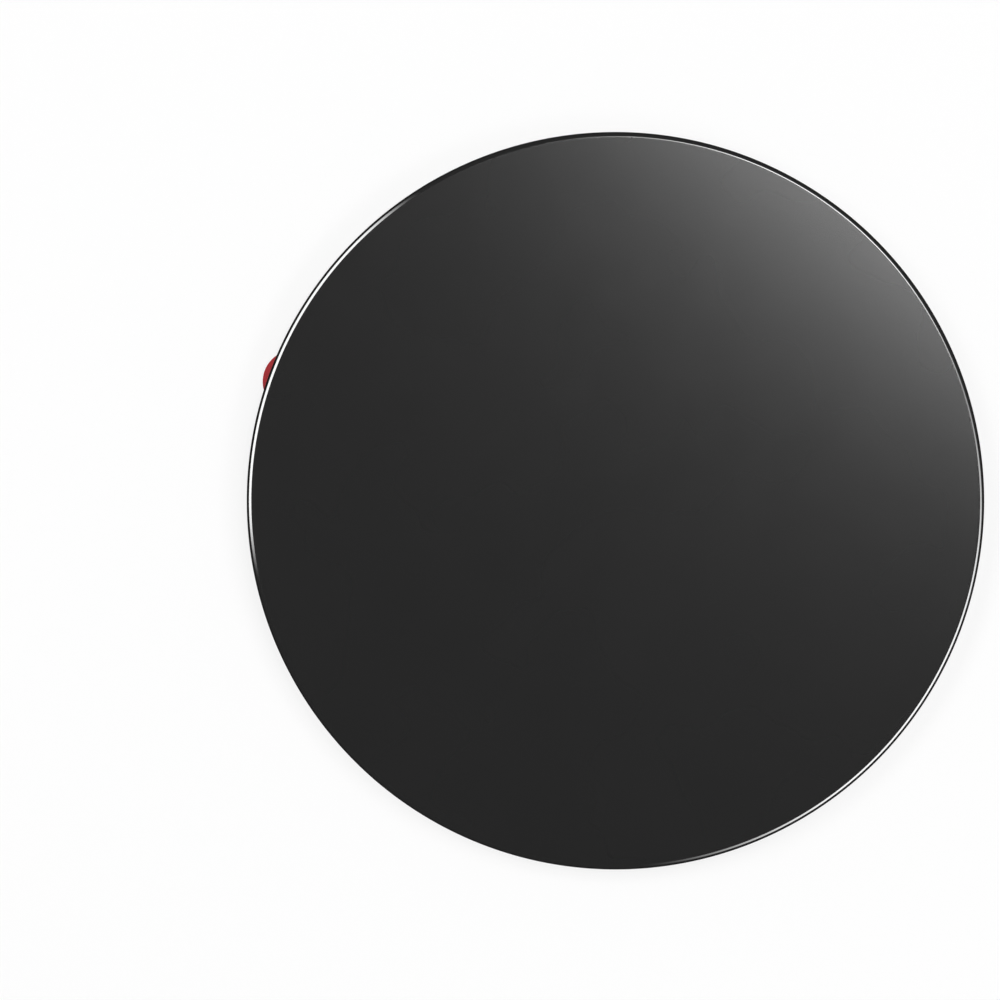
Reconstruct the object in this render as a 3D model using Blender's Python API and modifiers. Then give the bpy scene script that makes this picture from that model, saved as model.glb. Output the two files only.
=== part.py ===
"""A dashboard mounting disc: a glossy plastic disc that a suction cup holds to, on a foam adhesive pad
whose red release liner ends in a pull tab.

Metres, +Z up. The disc lies on its liner as it comes out of its bag: the origin is under the disc's
centre, on the liner's lower face, and +Z points out of the glossy face.
"""

import math

import bpy

# Plastic disc
DISC_DIAMETER = 0.080
DISC_THICKNESS = 0.002

# Section of each edge of the disc, from the side wall in to the flat face: a tight nose, a shallow
# crowned bevel and an easing into the face. Slopes are from the flat of the face.
NOSE_RADIUS = 0.00028
BEVEL_CROWN_RADIUS = 0.0016
EASE_RADIUS = 0.00055
BEVEL_OUTER_SLOPE = math.radians(25)
BEVEL_INNER_SLOPE = math.radians(12)

# Foam adhesive pad, set in from the rim so that a ring of bare plastic shows
BARE_RING = 0.0046
PAD_THICKNESS = 0.001

# Release liner, cut a hair wider than the pad, with a tab to pull it by
LINER_THICKNESS = 0.00015
LINER_OVERHANG = 0.0001
TAB_WIDTH = 0.007
TAB_PAST_RIM = 0.0008
TAB_DIRECTION = math.radians(159.6)

# Room left for the glue between two bonded layers
GLUE_LINE = 0.00005

# Straight steps in a full turn and in the arcs of an edge
TURN_STEPS = 144
NOSE_STEPS = 4
BEVEL_STEPS = 2
EASE_STEPS = 2
TAB_STEPS = 24

MERGE_DISTANCE = 0.000001

disc_radius = DISC_DIAMETER / 2
pad_radius = disc_radius - BARE_RING
liner_radius = pad_radius + LINER_OVERHANG
tab_reach = disc_radius + TAB_PAST_RIM

pad_bottom = LINER_THICKNESS + GLUE_LINE
disc_bottom = pad_bottom + PAD_THICKNESS + GLUE_LINE


def clear_scene():
    """Removes every object, so that the script can be run again."""
    for obj in list(bpy.data.objects):
        bpy.data.objects.remove(obj, do_unlink=True)


def material(name, colour, roughness, metallic=0.0):
    """Returns a plain material of that colour and finish."""
    result = bpy.data.materials.new(name)
    result.use_nodes = True
    shader = result.node_tree.nodes["Principled BSDF"]
    shader.inputs["Base Color"].default_value = (*colour, 1.0)
    shader.inputs["Roughness"].default_value = roughness
    shader.inputs["Metallic"].default_value = metallic
    return result


def arc(centre, radius, start, end, steps):
    """Returns the points of an arc about a centre, both ends included, with angles in radians."""
    step = (end - start) / steps
    angles = [start + step * i for i in range(steps + 1)]
    return [(centre[0] + radius * math.cos(a), centre[1] + radius * math.sin(a)) for a in angles]


def edge_section():
    """Returns one edge of the disc as (inset, rise) from the side wall's plane and the edge's foot.

    Three arcs follow each other, each one starting at the slope and the point where the last ended.
    """
    upright = math.pi / 2
    arcs = [
        (NOSE_RADIUS, upright, BEVEL_OUTER_SLOPE, NOSE_STEPS),
        (BEVEL_CROWN_RADIUS, BEVEL_OUTER_SLOPE, BEVEL_INNER_SLOPE, BEVEL_STEPS),
        (EASE_RADIUS, BEVEL_INNER_SLOPE, 0, EASE_STEPS),
    ]
    points = [(0, 0)]
    for radius, start, end, steps in arcs:
        inset, rise = points[-1]
        centre = (inset + radius * math.sin(start), rise - radius * math.cos(start))
        turn = arc(centre, radius, upright + start, upright + end, steps)
        points += turn[1:]
    return points


def disc_profile():
    """Returns the disc's half section as (radius, height), from the face's centre down to the back's."""
    edge = edge_section()
    edge_height = edge[-1][1]
    face = [(disc_radius - inset, DISC_THICKNESS - edge_height + rise) for inset, rise in edge]
    back = [(disc_radius - inset, edge_height - rise) for inset, rise in edge]
    return [(0, DISC_THICKNESS), *reversed(face), *back, (0, 0)]


def mounting_disc():
    """Turns the plastic disc from its half section."""
    profile = disc_profile()
    mesh = bpy.data.meshes.new("mounting_disc")
    points = [(radius, 0, height) for radius, height in profile]
    edges = [(i, i + 1) for i in range(len(points) - 1)]
    mesh.from_pydata(points, edges, [])
    disc = bpy.data.objects.new("mounting_disc", mesh)
    disc.location.z = disc_bottom

    turn = disc.modifiers.new("Turn", "SCREW")
    turn.axis = "Z"
    turn.angle = math.tau
    turn.steps = TURN_STEPS
    turn.render_steps = TURN_STEPS
    turn.use_merge_vertices = True
    turn.merge_threshold = MERGE_DISTANCE
    turn.use_smooth_shade = True
    disc.modifiers.new("Flat faces stay flat", "WEIGHTED_NORMAL")
    return disc


def adhesive_pad():
    """Cuts the round foam pad."""
    bpy.ops.mesh.primitive_cylinder_add(vertices=TURN_STEPS, radius=pad_radius, depth=PAD_THICKNESS)
    pad = bpy.context.object
    pad.name = "adhesive_pad"
    pad.data.name = "adhesive_pad"
    pad.location.z = pad_bottom + PAD_THICKNESS / 2
    pad.data.shade_smooth()
    pad.data.set_sharp_from_angle(angle=math.radians(40))
    return pad


def liner_outline():
    """Returns the liner's outline, a round with a round-ended tab along +X, counter-clockwise."""
    half_width = TAB_WIDTH / 2
    corner = math.asin(half_width / liner_radius)
    tab_end = arc((tab_reach - half_width, 0), half_width, -math.pi / 2, math.pi / 2, TAB_STEPS)
    edge = arc((0, 0), liner_radius, corner, math.tau - corner, TURN_STEPS)
    return tab_end + edge


def release_liner():
    """Cuts the red liner, with its pull tab, out of film."""
    outline = liner_outline()
    curve = bpy.data.curves.new("release_liner", "CURVE")
    curve.dimensions = "2D"
    curve.fill_mode = "BOTH"
    curve.extrude = LINER_THICKNESS / 2
    spline = curve.splines.new("POLY")
    spline.points.add(len(outline) - 1)
    for point, (x, y) in zip(spline.points, outline):
        point.co = (x, y, 0, 1)
    spline.use_cyclic_u = True

    liner = bpy.data.objects.new("release_liner", curve)
    liner.location.z = LINER_THICKNESS / 2
    liner.rotation_euler.z = TAB_DIRECTION
    weld = liner.modifiers.new("Join the cut edge", "WELD")
    weld.merge_threshold = MERGE_DISTANCE
    return liner


def build():
    """Makes the three layers and stacks them on one empty."""
    clear_scene()
    collection = bpy.data.collections.new("dashboard_mounting_disc")
    bpy.context.scene.collection.children.link(collection)
    stack = bpy.data.objects.new("stack", None)
    collection.objects.link(stack)

    layers = [
        (mounting_disc(), material("gloss_black_plastic", (0.021, 0.021, 0.021), 0.2)),
        (adhesive_pad(), material("black_foam", (0.018, 0.018, 0.019), 0.9)),
        (release_liner(), material("red_film", (0.485, 0.023, 0.030), 0.45)),
    ]
    for layer, finish in layers:
        for other in list(layer.users_collection):
            other.objects.unlink(layer)
        collection.objects.link(layer)
        layer.parent = stack
        layer.data.materials.append(finish)


build()
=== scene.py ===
import math

import bmesh
import bpy
from mathutils import Matrix, Vector


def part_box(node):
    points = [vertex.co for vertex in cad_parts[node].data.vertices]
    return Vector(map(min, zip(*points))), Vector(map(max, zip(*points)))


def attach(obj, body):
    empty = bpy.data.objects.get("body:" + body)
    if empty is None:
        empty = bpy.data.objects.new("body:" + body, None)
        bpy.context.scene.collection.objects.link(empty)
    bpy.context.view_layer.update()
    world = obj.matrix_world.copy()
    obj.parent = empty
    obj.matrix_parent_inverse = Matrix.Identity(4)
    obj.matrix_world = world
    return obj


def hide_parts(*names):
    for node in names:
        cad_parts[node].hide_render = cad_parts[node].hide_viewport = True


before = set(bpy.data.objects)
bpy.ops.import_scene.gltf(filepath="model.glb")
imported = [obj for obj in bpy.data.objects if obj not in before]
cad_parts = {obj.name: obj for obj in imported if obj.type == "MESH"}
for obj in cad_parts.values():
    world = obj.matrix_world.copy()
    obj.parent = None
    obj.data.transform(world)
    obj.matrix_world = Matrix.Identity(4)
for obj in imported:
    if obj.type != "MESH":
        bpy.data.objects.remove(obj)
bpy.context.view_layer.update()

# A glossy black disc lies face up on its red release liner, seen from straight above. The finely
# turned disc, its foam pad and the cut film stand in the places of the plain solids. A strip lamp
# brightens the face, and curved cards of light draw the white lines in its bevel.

MM = 0.001

# Section of the disc's edge, from the side wall in to the flat face. Slopes are from the flat.
NOSE_RADIUS = 0.28 * MM
BEVEL_CROWN_RADIUS = 1.6 * MM
EASE_RADIUS = 0.55 * MM
BEVEL_OUTER_SLOPE = math.radians(25)
BEVEL_INNER_SLOPE = math.radians(12)

# Steps in a full turn and in the arcs of an edge
TURN_STEPS = 512
NOSE_STEPS = 10
BEVEL_STEPS = 8
EASE_STEPS = 6

# Rings just inside the flat face's edge, which keep its shading flat
FLAT_RING_INSETS = (0.5 * MM, 0.04 * MM)

# Depth of the skin that counts as the side wall
WALL_SKIN = 0.001 * MM

# Foam pad: how far its cut side bulges, and the flat ring inside that
FOAM_BULGE = 0.06 * MM
FOAM_RING = 0.2 * MM
FOAM_STEPS = 12

# The film's tab, which curls up from a little past the film's round
TAB_WIDTH = 7 * MM
TAB_PAST_RIM = 0.8 * MM
TAB_DIRECTION = math.radians(159.6)
TAB_STEPS = 32
TAB_CURL = 0.3 * MM
TAB_CURL_START = 0.3 * MM
TAB_CURL_CUTS = 16

# Camera, straight above. In the 1000 pixel frame the disc is right of the middle and a hair low.
FRAME_PIXELS = 1000
DISC_PIXELS = 737.5
DISC_RIGHT_PIXELS = 115.47
DISC_DOWN_PIXELS = 0.72
CAMERA_HEIGHT = 360 * MM
SENSOR_WIDTH = 36.0

# Floor, a hair below the film
FLOOR_RADIUS = 5
FLOOR_SIDES = 128
FLOOR_DROP = 0.03 * MM
FLOOR_COLOUR = 0.94

# The camera sees this share of the floor as an even white, at these distances from the disc's centre
NEAR_DISTANCE = 0.1
NEAR_WHITE = 0.82
FAR_DISTANCE = 0.7
FAR_WHITE = 1.0

# World brightness at the horizon, at elevations in degrees, and overhead
HORIZON_LEVEL = 1.0
SKY_LEVELS = ((6, 1.0), (20, 0.3), (38, 0.075))
ZENITH_LEVEL = 0.1

# Strip lamp above the upper right
KEY_LENGTH = 194 * MM
KEY_WIDTH = 20 * MM
KEY_HEIGHT = 500 * MM
KEY_ACROSS = 131.9 * MM
KEY_AZIMUTH = math.radians(49)
KEY_RADIANCE = 30.1

# Cards of light, and the steps across them
CARD_DISTANCE = 800 * MM
CARD_STEPS = 6

disc_low, disc_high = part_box("mounting_disc")
pad_low, pad_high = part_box("adhesive_pad")
film_low, film_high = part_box("release_liner")
disc_radius = (disc_high.y - disc_low.y) / 2
pad_radius = (pad_high.y - pad_low.y) / 2
film_radius = (film_high.y - film_low.y) / 2
film_thickness = film_high.z - film_low.z
tab_reach = disc_radius + TAB_PAST_RIM


# Meshes


def add_object(name, data):
    """Links a new object with that data into the scene."""
    obj = bpy.data.objects.new(name, data)
    bpy.context.scene.collection.objects.link(obj)
    return obj


def grid_faces(rows, columns, closed=False):
    """Returns the faces between points listed row by row, and from the last row to the first if closed."""
    faces = []
    for row in range(rows if closed else rows - 1):
        here = row * columns
        after = (row + 1) % rows * columns
        for i in range(columns - 1):
            faces.append((here + i, here + i + 1, after + i + 1, after + i))
    return faces


def arc(centre, radius, start, end, steps):
    """Returns the points of an arc about a centre, both ends included."""
    angles = [start + (end - start) * i / steps for i in range(steps + 1)]
    return [(centre[0] + radius * math.cos(a), centre[1] + radius * math.sin(a)) for a in angles]


def edge_section():
    """Returns the disc's edge as (inset, rise) from the side wall's plane and the edge's foot.

    Three arcs follow each other, each one starting at the slope and the point where the last ended.
    """
    upright = math.pi / 2
    arcs = [
        (NOSE_RADIUS, upright, BEVEL_OUTER_SLOPE, NOSE_STEPS),
        (BEVEL_CROWN_RADIUS, BEVEL_OUTER_SLOPE, BEVEL_INNER_SLOPE, BEVEL_STEPS),
        (EASE_RADIUS, BEVEL_INNER_SLOPE, 0, EASE_STEPS),
    ]
    points = [(0, 0)]
    for radius, start, end, steps in arcs:
        inset, rise = points[-1]
        centre = (inset + radius * math.sin(start), rise - radius * math.cos(start))
        points += arc(centre, radius, upright + start, upright + end, steps)[1:]
    return points


def turned(name, profile):
    """Turns a profile of (radius, height) points about Z into a smooth object.

    The profile starts on the axis at the top, runs out and down, and ends on the axis below.
    """
    rings = profile[1:-1]
    count = len(rings)
    points = []
    for i in range(TURN_STEPS):
        turn = math.tau * i / TURN_STEPS
        points += [(radius * math.cos(turn), radius * math.sin(turn), height) for radius, height in rings]
    top, bottom = len(points), len(points) + 1
    points += [(0, 0, profile[0][1]), (0, 0, profile[-1][1])]

    faces = grid_faces(TURN_STEPS, count, closed=True)
    for i in range(TURN_STEPS):
        here = i * count
        after = (i + 1) % TURN_STEPS * count
        faces.append((top, here, after))
        faces.append((bottom, after + count - 1, here + count - 1))
    mesh = bpy.data.meshes.new(name)
    mesh.from_pydata(points, [], faces)
    mesh.shade_smooth()
    return add_object(name, mesh)


def disc_body():
    """Makes the plastic disc, with a material slot each for its faces, bevels, noses and side wall."""
    edge = edge_section()
    thickness = disc_high.z - disc_low.z
    edge_width, edge_height = edge[-1]
    flat_radius = disc_radius - edge_width
    flat_rings = [0, flat_radius / 2] + [flat_radius - inset for inset in FLAT_RING_INSETS]
    upper = [(radius, thickness) for radius in flat_rings]
    upper += [(disc_radius - inset, thickness - edge_height + rise) for inset, rise in reversed(edge)]
    lower = [(radius, thickness - height) for radius, height in reversed(upper)]
    disc = turned("disc_body", upper + lower)
    disc.location.z = disc_low.z

    nose_width = edge[NOSE_STEPS][0]
    bevel_width = edge[NOSE_STEPS + BEVEL_STEPS + EASE_STEPS // 2][0]
    zones = [disc_radius - width for width in (bevel_width, nose_width, WALL_SKIN)]
    for face in disc.data.polygons:
        radius = face.center.xy.length
        face.material_index = sum(radius > inner for inner in zones)
    # The noses' finish is painted shade, a black far darker than the face's
    for finish in (face_gloss(), bevel_polish(), nose_painted_shade(), wall_satin()):
        disc.data.materials.append(finish)
    return disc


def foam_body():
    """Makes the foam pad, whose cut side bulges a little between the film and the disc."""
    height = disc_low.z - film_high.z
    side = []
    for i in range(FOAM_STEPS + 1):
        bulge = FOAM_BULGE * math.sin(math.pi * i / FOAM_STEPS)
        side.append((pad_radius + bulge, height * i / FOAM_STEPS))
    inner = pad_radius - FOAM_RING
    profile = [(0, height), (inner, height), *reversed(side), (inner, 0), (0, 0)]
    pad = turned("foam_body", profile)
    pad.location.z = film_high.z
    pad.data.materials.append(foam())
    return pad


def film_outline():
    """Returns the film's outline, a round with a round-ended tab along +X."""
    half_width = TAB_WIDTH / 2
    corner = math.asin(half_width / film_radius)
    tab_end = arc((tab_reach - half_width, 0), half_width, -math.pi / 2, math.pi / 2, TAB_STEPS)
    return tab_end + arc((0, 0), film_radius, corner, math.tau - corner, TURN_STEPS)


def film_body():
    """Makes the red film, cut across its tab so that the tab's end can curl up a little."""
    shape = bmesh.new()
    shape.faces.new([shape.verts.new((x, y, 0)) for x, y in film_outline()])
    curl_start = film_radius + TAB_CURL_START
    curl_length = tab_reach - curl_start
    for i in range(TAB_CURL_CUTS):
        across = (curl_start + curl_length * i / TAB_CURL_CUTS, 0, 0)
        everything = shape.verts[:] + shape.edges[:] + shape.faces[:]
        bmesh.ops.bisect_plane(shape, geom=everything, plane_co=across, plane_no=(1, 0, 0))
    for vert in shape.verts:
        share = max(vert.co.x - curl_start, 0) / curl_length
        vert.co.z = TAB_CURL * share**2
    turn = Matrix.Rotation(TAB_DIRECTION, 3, "Z")
    bmesh.ops.rotate(shape, verts=shape.verts, cent=(0, 0, 0), matrix=turn)

    mesh = bpy.data.meshes.new("film_body")
    shape.to_mesh(mesh)
    shape.free()
    mesh.shade_smooth()

    film = add_object("film_body", mesh)
    thick = film.modifiers.new("Thickness", "SOLIDIFY")
    thick.thickness = film_thickness
    thick.offset = 1
    film.data.materials.append(film_satin())
    return film


# Materials


def grey(level):
    """Returns a grey as a colour."""
    return (level, level, level)


def principled(name, **values):
    """Returns a new material, its node tree and its shader, whose sockets take the given values."""
    material = bpy.data.materials.new(name)
    material.use_nodes = True
    shader = material.node_tree.nodes["Principled BSDF"]
    for socket, value in values.items():
        shader.inputs[socket.replace("_", " ")].default_value = value
    return material, material.node_tree, shader


def noise(tree, scale, detail=2.0):
    """Adds a noise texture in object coordinates, with about scale waves to a metre."""
    place = tree.nodes.new("ShaderNodeTexCoord")
    texture = tree.nodes.new("ShaderNodeTexNoise")
    texture.inputs["Scale"].default_value = scale
    texture.inputs["Detail"].default_value = detail
    tree.links.new(place.outputs["Object"], texture.inputs["Vector"])
    return texture.outputs["Fac"]


def vary(tree, factor, socket, low, high):
    """Runs a number socket from low to high with a factor."""
    span = tree.nodes.new("ShaderNodeMapRange")
    span.inputs["To Min"].default_value = low
    span.inputs["To Max"].default_value = high
    tree.links.new(factor, span.inputs["Value"])
    tree.links.new(span.outputs["Result"], socket)


def tint(tree, factor, socket, dark, light):
    """Runs a colour socket from one shade to another with a factor."""
    ramp = tree.nodes.new("ShaderNodeValToRGB")
    ramp.color_ramp.elements[0].color = (*dark, 1)
    ramp.color_ramp.elements[1].color = (*light, 1)
    tree.links.new(factor, ramp.inputs["Fac"])
    tree.links.new(ramp.outputs["Color"], socket)


def bump(tree, height, shader, depth):
    """Raises the surface by depth, in metres, where height is 1."""
    relief = tree.nodes.new("ShaderNodeBump")
    relief.inputs["Strength"].default_value = 1.0
    relief.inputs["Distance"].default_value = depth
    tree.links.new(height, relief.inputs["Height"])
    tree.links.new(relief.outputs["Normal"], shader.inputs["Normal"])


def face_gloss():
    """The disc's faces: smooth black plastic whose soft gloss differs a little from place to place."""
    material, tree, shader = principled("face_gloss", IOR=1.5)
    tint(tree, noise(tree, 60), shader.inputs["Base Color"], grey(0.0131), grey(0.0147))
    vary(tree, noise(tree, 220), shader.inputs["Roughness"], 0.200, 0.220)
    return material


def bevel_polish():
    """The bevels, which the mould left bright."""
    material, tree, shader = principled(
        "bevel_polish",
        IOR=1.7,
        Specular_IOR_Level=1.0,
        Coat_Weight=1.0,
        Coat_Roughness=0.06,
        Coat_IOR=1.5,
    )
    tint(tree, noise(tree, 400), shader.inputs["Base Color"], grey(0.005), grey(0.007))
    vary(tree, noise(tree, 900), shader.inputs["Roughness"], 0.06, 0.08)
    return material


def nose_painted_shade():
    """The tight noses between the bevels and the side wall: matte, in a black far darker than the rest of
    the disc, which is painted shade that keeps the rim's outer line black.
    """
    material, tree, shader = principled("nose_painted_shade", IOR=1.5, Specular_IOR_Level=0.05)
    # Painted shade: a near-black far darker than the face's, so the rim's outer line reads black
    tint(tree, noise(tree, 900), shader.inputs["Base Color"], grey(0.0015), grey(0.0025))
    vary(tree, noise(tree, 1500), shader.inputs["Roughness"], 0.55, 0.65)
    return material


def wall_satin():
    """The side wall, satin as the mould's parting line leaves it."""
    material, tree, shader = principled("wall_satin", IOR=1.5, Specular_IOR_Level=0.25)
    tint(tree, noise(tree, 900), shader.inputs["Base Color"], grey(0.008), grey(0.011))
    vary(tree, noise(tree, 1500), shader.inputs["Roughness"], 0.34, 0.42)
    return material


def foam():
    """Black closed-cell foam: its cut side shows small round cells."""
    material, tree, shader = principled("foam", Roughness=0.92, Specular_IOR_Level=0.3)
    place = tree.nodes.new("ShaderNodeTexCoord")
    cells = tree.nodes.new("ShaderNodeTexVoronoi")
    cells.inputs["Scale"].default_value = 7000
    tree.links.new(place.outputs["Object"], cells.inputs["Vector"])
    tint(tree, cells.outputs["Distance"], shader.inputs["Base Color"], grey(0.008), (0.030, 0.030, 0.032))
    bump(tree, cells.outputs["Distance"], shader, 0.05 * MM)
    return material


def film_satin():
    """Red polyethylene film, satin and very slightly wavy."""
    material, tree, shader = principled("film_satin", IOR=1.5)
    tint(tree, noise(tree, 90), shader.inputs["Base Color"], (0.47, 0.022, 0.029), (0.50, 0.024, 0.031))
    vary(tree, noise(tree, 300), shader.inputs["Roughness"], 0.40, 0.48)
    bump(tree, noise(tree, 160, 1.0), shader, 0.02 * MM)
    return material


# Camera and floor


def add_camera():
    """Sets the camera above the disc, looking straight down at the photograph's framing."""
    edge_height = edge_section()[-1][1]
    widest = disc_high.z - edge_height
    pixel = 2 * disc_radius / DISC_PIXELS
    data = bpy.data.cameras.new("camera")
    data.sensor_width = SENSOR_WIDTH
    data.lens = SENSOR_WIDTH * CAMERA_HEIGHT / (pixel * FRAME_PIXELS)
    camera = add_object("camera", data)
    camera.location = (-DISC_RIGHT_PIXELS * pixel, DISC_DOWN_PIXELS * pixel, widest + CAMERA_HEIGHT)
    bpy.context.scene.camera = camera
    return camera


def math_node(tree, operation, *values):
    """Adds a math node, fed by sockets or numbers."""
    node = tree.nodes.new("ShaderNodeMath")
    node.operation = operation
    for socket, value in zip(node.inputs, values):
        if isinstance(value, (int, float)):
            socket.default_value = value
        else:
            tree.links.new(value, socket)
    return node.outputs[0]


def white_share(tree):
    """Returns the share of even white in the floor, which grows with the distance from its centre."""
    place = tree.nodes.new("ShaderNodeTexCoord")
    distance = tree.nodes.new("ShaderNodeVectorMath")
    distance.operation = "LENGTH"
    tree.links.new(place.outputs["Object"], distance.inputs[0])
    share = tree.nodes.new("ShaderNodeMapRange")
    share.inputs["From Min"].default_value = NEAR_DISTANCE
    share.inputs["From Max"].default_value = FAR_DISTANCE
    share.inputs["To Min"].default_value = NEAR_WHITE
    share.inputs["To Max"].default_value = FAR_WHITE
    tree.links.new(distance.outputs["Value"], share.inputs["Value"])
    return share.outputs["Result"]


def floor_paper():
    """White paper, which the camera and reflections see partly as an even white backdrop."""
    material, tree, shader = principled(
        "floor_paper",
        Base_Color=(*grey(FLOOR_COLOUR), 1),
        Roughness=1.0,
        Specular_IOR_Level=0.0,
    )
    path = tree.nodes.new("ShaderNodeLightPath")
    seen = math_node(tree, "MAXIMUM", path.outputs["Is Camera Ray"], path.outputs["Is Glossy Ray"])
    seen = math_node(tree, "MAXIMUM", seen, path.outputs["Is Transmission Ray"])
    white = tree.nodes.new("ShaderNodeEmission")
    mix = tree.nodes.new("ShaderNodeMixShader")
    tree.links.new(math_node(tree, "MULTIPLY", seen, white_share(tree)), mix.inputs["Fac"])
    tree.links.new(shader.outputs["BSDF"], mix.inputs[1])
    tree.links.new(white.outputs["Emission"], mix.inputs[2])
    tree.links.new(mix.outputs["Shader"], tree.nodes["Material Output"].inputs["Surface"])
    return material


def add_floor():
    """Lays a wide round floor under the disc."""
    bpy.ops.mesh.primitive_circle_add(vertices=FLOOR_SIDES, radius=FLOOR_RADIUS, fill_type="NGON")
    floor = bpy.context.object
    floor.name = "floor"
    floor.location.z = -FLOOR_DROP
    floor.data.materials.append(floor_paper())


# Light


def add_world():
    """Lights the disc from all round: white at the horizon, and dim overhead."""
    world = bpy.data.worlds.new("studio")
    world.use_nodes = True
    bpy.context.scene.world = world
    tree = world.node_tree
    place = tree.nodes.new("ShaderNodeTexCoord")
    parts = tree.nodes.new("ShaderNodeSeparateXYZ")
    sky = tree.nodes.new("ShaderNodeValToRGB")
    stops = sky.color_ramp.elements
    for elevation, level in SKY_LEVELS:
        stops.new(math.sin(math.radians(elevation))).color = (*grey(level), 1)
    stops[0].color = (*grey(HORIZON_LEVEL), 1)
    stops[-1].color = (*grey(ZENITH_LEVEL), 1)
    tree.links.new(place.outputs["Generated"], parts.inputs["Vector"])
    tree.links.new(parts.outputs["Z"], sky.inputs["Fac"])
    tree.links.new(sky.outputs["Color"], tree.nodes["Background"].inputs["Color"])


def add_key():
    """Hangs the strip lamp whose soft reflection brightens the face towards its upper right."""
    data = bpy.data.lights.new("key", "AREA")
    data.shape = "RECTANGLE"
    data.size = KEY_LENGTH
    data.size_y = KEY_WIDTH
    data.energy = KEY_RADIANCE * math.pi * data.size * data.size_y
    key = add_object("key", data)
    key.location.x = KEY_ACROSS * math.cos(KEY_AZIMUTH)
    key.location.y = KEY_ACROSS * math.sin(KEY_AZIMUTH)
    key.location.z = disc_high.z + KEY_HEIGHT
    key.rotation_euler = (-key.location).to_track_quat("-Z", "Y").to_euler()


def mirrored(camera, azimuth, tilt):
    """Returns a point of the rim, and where the camera looks by way of it when it leans out by tilt."""
    outward = Vector((math.cos(azimuth), math.sin(azimuth), 0))
    normal = outward * math.sin(tilt) + Vector((0, 0, math.cos(tilt)))
    point = outward * disc_radius + Vector((0, 0, disc_high.z))
    to_camera = (camera.location - point).normalized()
    return point, 2 * normal.dot(to_camera) * normal - to_camera


def fade(value, start, end):
    """Rises smoothly from 0 at start to 1 at end."""
    share = min(max((value - start) / (end - start), 0), 1)
    return share * share * (3 - 2 * share)


def band_row(camera, azimuth, tilts, lowered):
    """Returns the points across a card at one azimuth, for tilts that are lowered by some degrees."""
    row = []
    for i in range(CARD_STEPS + 1):
        tilt = tilts[0] + (tilts[1] - tilts[0]) * i / CARD_STEPS - lowered
        point, direction = mirrored(camera, math.radians(azimuth), math.radians(tilt))
        row.append(point + direction * CARD_DISTANCE)
    return row


def band_glow(name, radiance):
    """A card's light, faded at its ends by its own glow attribute. Cards behind it shine through."""
    material = bpy.data.materials.new(name)
    material.use_nodes = True
    tree = material.node_tree
    tree.nodes.remove(tree.nodes["Principled BSDF"])
    level = tree.nodes.new("ShaderNodeAttribute")
    level.attribute_name = "glow"
    light = tree.nodes.new("ShaderNodeEmission")
    strength = math_node(tree, "MULTIPLY", level.outputs["Fac"], radiance)
    tree.links.new(strength, light.inputs["Strength"])
    clear = tree.nodes.new("ShaderNodeBsdfTransparent")
    both = tree.nodes.new("ShaderNodeAddShader")
    tree.links.new(light.outputs["Emission"], both.inputs[0])
    tree.links.new(clear.outputs["BSDF"], both.inputs[1])
    tree.links.new(both.outputs["Shader"], tree.nodes["Material Output"].inputs["Surface"])
    return material


def add_band(camera, name, azimuths, tilts, radiance, sink=0, sink_from=0):
    """Hangs a curved card of light that the camera sees in the bevel.

    azimuths are where it starts, is full, begins to fade and ends, in degrees round the rim, and
    tilts are the leans of the bevel, in degrees, between which it shows. From sink_from to its end
    they go down by as much as sink.
    """
    start, full, fading, end = azimuths
    points, glow = [], []
    for azimuth in range(start, end + 1):
        row = band_row(camera, azimuth, tilts, sink * fade(azimuth, sink_from, end))
        level = fade(azimuth, start, full) * (1 - fade(azimuth, fading, end))
        points += row
        glow += [level] * len(row)
    mesh = bpy.data.meshes.new(name)
    mesh.from_pydata(points, [], grid_faces(end - start + 1, CARD_STEPS + 1))
    levels = mesh.attributes.new("glow", "FLOAT", "POINT")
    levels.data.foreach_set("value", glow)
    mesh.materials.append(band_glow(name, radiance))
    band = add_object(name, mesh)
    band.visible_camera = False


def add_bands(camera):
    """Hangs the three cards: for the left rim, for the lower right and for the upper right."""
    add_band(
        camera,
        "left_card",
        azimuths=(123, 136, 180, 192),
        tilts=(11, 20.6),
        radiance=6.0,
    )
    add_band(
        camera,
        "lower_card",
        azimuths=(-86, -48, -34, 38),
        tilts=(14, 20.6),
        radiance=6.0,
        sink=6,
        sink_from=-18,
    )
    add_band(
        camera,
        "upper_card",
        azimuths=(8, 48, 62, 105),
        tilts=(8, 13.9),
        radiance=6.5,
        sink=3,
        sink_from=50,
    )


# The whole scene


def dress():
    """Makes the visible layers and puts them in the places of the plain solids."""
    disc = disc_body()
    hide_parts("mounting_disc")
    pad = foam_body()
    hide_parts("adhesive_pad")
    film = film_body()
    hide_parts("release_liner")
    for layer in (disc, pad, film):
        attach(layer, "root")


def light_up():
    """Sets the camera, the floor and the studio light."""
    camera = add_camera()
    add_floor()
    add_world()
    add_key()
    add_bands(camera)
    bpy.context.scene.view_settings.view_transform = "Standard"


dress()
light_up()
